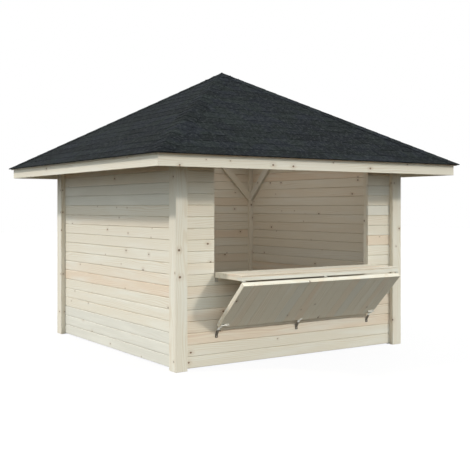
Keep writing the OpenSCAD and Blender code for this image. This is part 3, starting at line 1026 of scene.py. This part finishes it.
# %% One hip cap
CAP_WING = 0.125
CAP_COUNT = 21
CAP_LAP = 0.035
CAP_FOLD = 0.012
CAP_SAG = 0.08
CAP_SEAT = 2.6 * FELT
tangent = math.tan(ROOF_PITCH)
hip_foot = Vector((-shingle_edge, -shingle_edge, shingle_low.z))
hip_run = Vector((1, 1, tangent)) * shingle_edge
hip_up = hip_run.normalized()
cap_step = hip_run.length / CAP_COUNT
front_out = Vector((0, -math.sin(ROOF_PITCH), math.cos(ROOF_PITCH)))
left_out = Vector((-math.sin(ROOF_PITCH), 0, math.cos(ROOF_PITCH)))
front_wing = hip_up.cross(front_out).normalized()
left_wing = left_out.cross(hip_up).normalized()
hip_out = (front_out + left_out).normalized()


def closed_sheet(name, below, above):
    """A thin solid between two grids of points that have the same rows and columns."""
    work = bmesh.new()
    low = [[work.verts.new(point) for point in row] for row in below]
    high = [[work.verts.new(point) for point in row] for row in above]
    last_row = len(low) - 1
    last = len(low[0]) - 1
    for r in range(last_row):
        for c in range(last):
            work.faces.new((low[r][c], low[r + 1][c], low[r + 1][c + 1], low[r][c + 1]))
            work.faces.new((high[r][c], high[r][c + 1], high[r + 1][c + 1], high[r + 1][c]))
        for c in (0, last):
            work.faces.new((low[r][c], high[r][c], high[r + 1][c], low[r + 1][c]))
    for c in range(last):
        for r in (0, last_row):
            work.faces.new((low[r][c], low[r][c + 1], high[r][c + 1], high[r][c]))
    bmesh.ops.recalc_face_normals(work, faces=work.faces)
    return plain_mesh(work, name)


def cap_wing(wing, out):
    return [(wing * CAP_WING, out), (wing * CAP_WING * 0.5, out), (wing * CAP_FOLD, out)]


def hip_cap():
    ridge = [(hip_out * -CAP_FOLD * CAP_SAG, hip_out)]
    columns = cap_wing(left_wing, left_out) + ridge + cap_wing(front_wing, front_out)[::-1]
    below = []
    above = []
    for along in (0, cap_step / 2, cap_step + CAP_LAP):
        lift = CAP_SEAT + FELT * (1 - along / cap_step)
        below.append([hip_up * along + spot + out * lift for spot, out in columns])
        above.append([hip_up * along + spot + out * (lift + FELT) for spot, out in columns])
    return closed_sheet("hip_cap", below, above)


cap = hip_cap()
print("hip:", round(hip_run.length, 3), "m long, cap every", round(cap_step, 3), "m")

# %% [markdown]
# ## Caps on four hips
# The caps of one hip are set from the eave upwards, cut off at the eaves and beyond the peak, and carried
# round to the other hips. A square piece over the peak ends them: its height falls with the distance from
# the middle, so it lies on all four sides.

# %% Caps on four hips and the peak
CAP_WOBBLE = 0.006
CAP_SEED = 80
PEAK_REACH = 0.15
PEAK_TINT = 0.4
cap_spots = [hip_foot + hip_run * (k / CAP_COUNT) for k in range(CAP_COUNT)]
cap_planes = [(Vector((0, 0, 0)), Vector((1, 1, 0))), (hip_foot, Vector((-1, 0, 0))),
              (hip_foot, Vector((0, -1, 0)))]
for turn, side in enumerate(("front_left", "front_right", "back_right", "back_left")):
    caps = set_on_points(cap, cap_spots, [(0, 0, 1)] * CAP_COUNT, CAP_WOBBLE, CAP_SEED + turn, shingle_felt)
    trim(caps, *cap_planes)
    caps.transform(quarter(turn))
    dress("hip_caps_" + side, caps, "shed", "shingles")

peak_top = shingle_low.z + shingle_edge * tangent + (CAP_SEAT + 2 * FELT) / math.cos(ROOF_PITCH)


def peak_grid(lift):
    ticks = (-PEAK_REACH, -PEAK_REACH / 2, 0, PEAK_REACH / 2, PEAK_REACH)
    return [[Vector((x, y, peak_top + lift - max(abs(x), abs(y)) * tangent)) for x in ticks] for y in ticks]


peak_cap = closed_sheet("peak_cap", peak_grid(0), peak_grid(FELT))
peak_tint = peak_cap.attributes.new("tint", "FLOAT", "POINT")
peak_tint.data.foreach_set("value", [PEAK_TINT] * len(peak_cap.vertices))
peak_cap.materials.append(shingle_felt)
dress("peak_cap", peak_cap, "shed", "shingles")

# %% [markdown]
# ## Zinc-plated fittings
# Hinges, catches and bolts are steel with a thin zinc coat: pale grey metal, blotched where the crystals of
# the coat differ, and never mirror bright. The hooks on the wall are painted dark brown below their tips, as
# painted shade for the flap's shadow on them, while the tips keep the plain zinc. One function makes both
# finishes from the height below which the shade is painted; for the plain one that is the ground. The CAD
# solids have the right shape, so they stay and only get this finish, which reads Object coordinates.

# %% Zinc steel
ZINC_DARK = (0.47, 0.465, 0.42, 1)
ZINC_LIGHT = (0.66, 0.65, 0.59, 1)
# Painted shade: the dark brown that the hooks get below their tips, standing in for the flap's shadow.
PAINTED_SHADE_DARK = (0.09, 0.078, 0.06, 1)
PAINTED_SHADE_LIGHT = (0.17, 0.15, 0.12, 1)
SHADE_FADE = 0.003
UNSHADED_TIP = 0.028
CRYSTAL_SCALE = 160.0
BLOTCH_SCALE = (60.0, 60.0, 60.0)
FLAKE_SHARE = 0.5
ZINC_BUMP = {"Strength": 0.15, "Distance": 0.0005}
ZINC_ROUGH = (0.45, 0.65)


def steel_material(name, shade_height):
    material, tree, shader = new_material(name)
    place = add(tree, "ShaderNodeTexCoord").outputs["Object"]
    crystals = add(tree, "ShaderNodeTexVoronoi", {"Vector": place, "Scale": CRYSTAL_SCALE}).outputs["Color"]
    blotch = noise(tree, place, BLOTCH_SCALE, detail=3.0)
    flake = add(tree, "ShaderNodeSeparateColor", {0: crystals}).outputs[0]
    rest = calc(tree, "MULTIPLY", blotch, 1 - FLAKE_SHARE)
    tone = calc(tree, "MULTIPLY_ADD", flake, FLAKE_SHARE, rest)
    height = add(tree, "ShaderNodeSeparateXYZ", {0: place}).outputs[2]
    # Below this height the steel's colour is painted shade.
    painted_shade = fade(tree, height, shade_height - SHADE_FADE, shade_height + SHADE_FADE, 1.0, 0.0)
    bright_color = blend(tree, tone, ZINC_DARK, ZINC_LIGHT)
    shaded_color = blend(tree, tone, PAINTED_SHADE_DARK, PAINTED_SHADE_LIGHT)
    rough = fade(tree, blotch, *NOISE_RANGE, *ZINC_ROUGH)
    relief = add(tree, "ShaderNodeBump", {"Height": blotch} | ZINC_BUMP)
    fill(tree, shader, {"Base Color": blend(tree, painted_shade, bright_color, shaded_color), "Metallic": 1.0,
                        "Roughness": rough, "Normal": relief.outputs["Normal"]})
    return material


zinc = steel_material("zinc_plated_steel", cad_low.z)
# The hooks' painted shade starts a little under the flap's lower edge; above it they keep the plain zinc.
hook_zinc_with_painted_shade = steel_material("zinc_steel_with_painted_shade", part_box("flap_boards")[0].z - UNSHADED_TIP)
finishes = {"sill_hinges": zinc, "counter_hinges": zinc, "flap_hinges": zinc, "flap_catches": zinc,
            "flap_bolts": zinc, "prop_hooks": hook_zinc_with_painted_shade}
for node, finish in finishes.items():
    nodes[node].data.materials.clear()
    nodes[node].data.materials.append(finish)
    print(node + ":", finish.name)

# %% [markdown]
# ## One screw head
# Hinges, hooks and bolts are held by pan-head screws. One head is built ring by ring from its outline, with
# a small recess for the driver. Its rings are shares of the head's radius, or the recess's, and its height.

# %% One screw head
SCREW_RADIUS = 0.0042
SCREW_HEIGHT = 0.0022
RECESS_RADIUS = 0.0017
SCREW_SIDES = 12
HEAD_RINGS = ((1, 0), (0.96, 0.5), (0.7, 1))
RECESS_RINGS = ((1, 1), (0.8, 0.4))


def screw_head():
    rings = [(SCREW_RADIUS * r, SCREW_HEIGHT * z) for r, z in HEAD_RINGS]
    rings += [(RECESS_RADIUS * r, SCREW_HEIGHT * z) for r, z in RECESS_RINGS]
    work = bmesh.new()
    turns = [math.tau * k / SCREW_SIDES for k in range(SCREW_SIDES)]
    loops = [[work.verts.new((r * math.cos(a), r * math.sin(a), z)) for a in turns] for r, z in rings]
    for inner, outer in zip(loops[1:], loops):
        for k in range(SCREW_SIDES):
            after = (k + 1) % SCREW_SIDES
            work.faces.new((outer[k], outer[after], inner[after], inner[k]))
    work.faces.new(loops[-1])
    work.faces.new(reversed(loops[0]))
    return plain_mesh(work, "screw_head")


screw = screw_head()
print("screw:", len(screw.polygons), "faces")

# %% [markdown]
# ## Screws on the fittings
# The places come from the fittings' own solids: each is boxed separately, and the flap's are boxed flat and
# folded afterwards. A hinge leaf takes two staggered screws, a hook takes one, and a bolt's plate takes four.

# %% Screw places
LEAF_THICK = 0.003
HOOK_THICK = 0.005
PLATE_THICK = 0.002
LEAF_SIDE = 0.009
LEAF_NEAR = 0.009
LEAF_FAR = 0.023
HOOK_UP = 0.014
PLATE_ENDS = (0.008, 0.046)
PLATE_EDGE = 0.004
wall_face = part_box("sill")[0].y
leaf_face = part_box("counter_rails")[0].z - LEAF_THICK


def solid_boxes(node, flatten=Matrix()):
    merged = plain_mesh(merged_copy(node), "merged")
    boxes = []
    for solid in islands(merged):
        spots = numpy.array([flatten @ merged.vertices[i].co for i in solid])
        boxes.append((spots.min(axis=0), spots.max(axis=0)))
    bpy.data.meshes.remove(merged)
    return boxes


def leaf_pair(low, high, edge, inwards):
    """Two screws under a hinge leaf, set in from the leaf's outer edge."""
    middle = (low[0] + high[0]) / 2
    return [(middle - LEAF_SIDE, edge + inwards * LEAF_NEAR, leaf_face),
            (middle + LEAF_SIDE, edge + inwards * LEAF_FAR, leaf_face)]


shed_spots = []
for low, high in solid_boxes("sill_hinges"):
    middle = (low[0] + high[0]) / 2
    shed_spots.append((middle - LEAF_SIDE, wall_face - LEAF_THICK, low[2] + LEAF_NEAR))
    shed_spots.append((middle + LEAF_SIDE, wall_face - LEAF_THICK, low[2] + LEAF_FAR))
for low, high in solid_boxes("prop_hooks"):
    shed_spots.append(((low[0] + high[0]) / 2, wall_face - HOOK_THICK, low[2] + HOOK_UP))

counter_spots = []
for low, high in solid_boxes("counter_hinges"):
    at_sill = high[1] > (wall_face + counter_low.y) / 2
    edge, inwards = (low[1], 1) if at_sill else (high[1], -1)
    counter_spots += leaf_pair(low, high, edge, inwards)

flap_spots = []
for low, high in solid_boxes("flap_hinges", fold.inverted()):
    flap_spots += leaf_pair(low, high, low[1], 1)
bolt_spots = []
for low, high in solid_boxes("flap_bolts", fold.inverted()):
    outer = 1 if low[0] > 0 else -1
    inner_end = low[0] if outer > 0 else high[0]
    for along in PLATE_ENDS:
        for across in (low[1] + PLATE_EDGE, high[1] - PLATE_EDGE):
            bolt_spots.append((inner_end + outer * along, across, flap_high.z + PLATE_THICK))
print("screws:", len(shed_spots), "on the wall,", len(counter_spots), "under the counter,",
      len(flap_spots) + len(bolt_spots), "on the flap")

# %% [markdown]
# ## Driving the screws
# Each body gets its screws as one mesh. A screw's head faces away from what it holds, and a small wobble
# keeps the heads from catching the light all alike.

# %% Screws on the bodies
SCREW_WOBBLE = 0.03
SCREW_SEED = 90
outwards = (0, -1, 0)
downwards = (0, 0, -1)
upwards = (0, 0, 1)
for body, spots, facings in (
    ("shed", shed_spots, [outwards] * len(shed_spots)),
    ("counter", counter_spots, [downwards] * len(counter_spots)),
    ("flap", flap_spots + bolt_spots, [downwards] * len(flap_spots) + [upwards] * len(bolt_spots)),
):
    heads = set_on_points(screw, spots, facings, SCREW_WOBBLE, SCREW_SEED, zinc)
    if body == "flap":
        heads.transform(fold)
    dress(body + "_screws", heads, body, "zinc_steel")

# %% [markdown]
# ## Floor
# The picture has a white ground. A plain white floor would throw so much light back that the shade under the
# eaves goes flat, so the floor is a dark one that takes the shadow, darker still further out, with white
# added only for the camera and for reflections.

# %% Floor
FLOOR_REACH = 40.0
NEAR_GROUND = (0.068, 0.056, 0.034, 1)
FAR_GROUND = (0.016, 0.013, 0.007, 1)
NEAR_REACH = 2.6
FAR_REACH = 4.4
NEAR_WHITE = 0.935
FAR_WHITE = 1.04
COOL_WHITE = (0.965, 0.975, 1.0, 1)
GROUND_SHEEN = {"Roughness": 0.9, "Specular IOR Level": 0.1}


def seen_straight(tree):
    """1 for what the camera sees, also in a reflection or through glass, and 0 for scattered light."""
    path = add(tree, "ShaderNodeLightPath").outputs
    seen = calc(tree, "MAXIMUM", path["Is Camera Ray"], path["Is Glossy Ray"])
    return calc(tree, "MAXIMUM", seen, path["Is Transmission Ray"])


floor_mesh = bpy.data.meshes.new("floor")
corners = [(x * FLOOR_REACH, y * FLOOR_REACH, 0) for x, y in ((-1, -1), (1, -1), (1, 1), (-1, 1))]
floor_mesh.from_pydata(corners, [], [(0, 1, 2, 3)])
floor = bpy.data.objects.new("floor", floor_mesh)
scene.collection.objects.link(floor)

pale_ground, tree, shader = new_material("pale_ground")
place = add(tree, "ShaderNodeTexCoord").outputs["Object"]
away = add(tree, "ShaderNodeVectorMath", {0: place}, operation="LENGTH").outputs["Value"]
far = fade(tree, away, NEAR_REACH, FAR_REACH, 0.0, 1.0)
fill(tree, shader, {"Base Color": blend(tree, far, NEAR_GROUND, FAR_GROUND)} | GROUND_SHEEN)
glow = calc(tree, "MULTIPLY", seen_straight(tree), fade(tree, far, 0.0, 1.0, NEAR_WHITE, FAR_WHITE))
white = add(tree, "ShaderNodeEmission", {"Color": COOL_WHITE, "Strength": glow})
both = add(tree, "ShaderNodeAddShader", {0: shader.outputs[0], 1: white.outputs[0]})
fill(tree, tree.nodes["Material Output"], {"Surface": both.outputs[0]})
floor_mesh.materials.append(pale_ground)
floor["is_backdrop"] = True
print("floor:", 2 * FLOOR_REACH, "m square")

# %% [markdown]
# ## Sky
# The sky fills the shadows with a cool light, brighter overhead than at the horizon, so that it gets darker
# under the eaves. The camera sees plain white behind the kiosk instead, and so do reflections.

# %% Sky
SKY = (0.855, 0.955, 1.0, 1)
SKY_HORIZON = 1.07
SKY_TOP = 1.37
SKY_FULL = 0.6
BACKDROP = (1, 1, 1, 1)
world = bpy.data.worlds.new("sky")
world.use_nodes = True
scene.world = world
tree = world.node_tree
tree.nodes.clear()
direction = add(tree, "ShaderNodeTexCoord").outputs["Generated"]
height = add(tree, "ShaderNodeSeparateXYZ", {0: direction}).outputs[2]
glow = fade(tree, height, 0.0, SKY_FULL, SKY_HORIZON, SKY_TOP)
sky = add(tree, "ShaderNodeBackground", {"Color": SKY, "Strength": glow})
backdrop = add(tree, "ShaderNodeBackground", {"Color": BACKDROP, "Strength": 1.0})
chosen = add(tree, "ShaderNodeMixShader", {0: seen_straight(tree), 1: sky.outputs[0], 2: backdrop.outputs[0]})
add(tree, "ShaderNodeOutputWorld", {"Surface": chosen.outputs[0]})
print("sky strength:", SKY_HORIZON, "to", SKY_TOP)

# %% [markdown]
# ## Daylight
# Two soft suns do the rest. One comes from the front right and throws the eave's shadow across the head of
# the opening. The other comes from the left, a little from behind, and models the left wall. A weak lamp
# under the roof stands in for light that is thrown about inside.

# %% Daylight
def daylight(name, travel, strength, color, spread_deg):
    lamp = bpy.data.lights.new(name, "SUN")
    lamp.energy = strength
    lamp.color = color
    lamp.angle = math.radians(spread_deg)
    holder = bpy.data.objects.new(name, lamp)
    holder.rotation_euler = Vector(travel).to_track_quat("-Z", "Y").to_euler()
    scene.collection.objects.link(holder)
    print(name + ":", strength)


daylight("light_front", travel=(-0.52, 1.0, -0.68), strength=1.22, color=(1.0, 0.955, 0.89), spread_deg=6.0)
daylight("light_left", travel=(1.0, -0.4, -1.12), strength=1.98, color=(1.0, 0.965, 0.935), spread_deg=4.5)

ROOM_LIGHT = 12.0
ROOM_SIZE = 2.4
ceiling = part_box("plate_front")[1].z
room = bpy.data.lights.new("light_room", "AREA")
room.energy = ROOM_LIGHT
room.shape = "SQUARE"
room.size = ROOM_SIZE
room_light = bpy.data.objects.new("light_room", room)
room_light.location = (0, 0, ceiling)
room_light.visible_camera = False
scene.collection.objects.link(room_light)
print("light_room:", ROOM_LIGHT, "at", round(ceiling, 3))

# %% [markdown]
# ## Measure and finish
# The dressed kiosk should still fill the CAD model's box.

# %% Measure and finish
low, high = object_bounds()
print("dressed box from", [round(v, 3) for v in low], "to", [round(v, 3) for v in high])
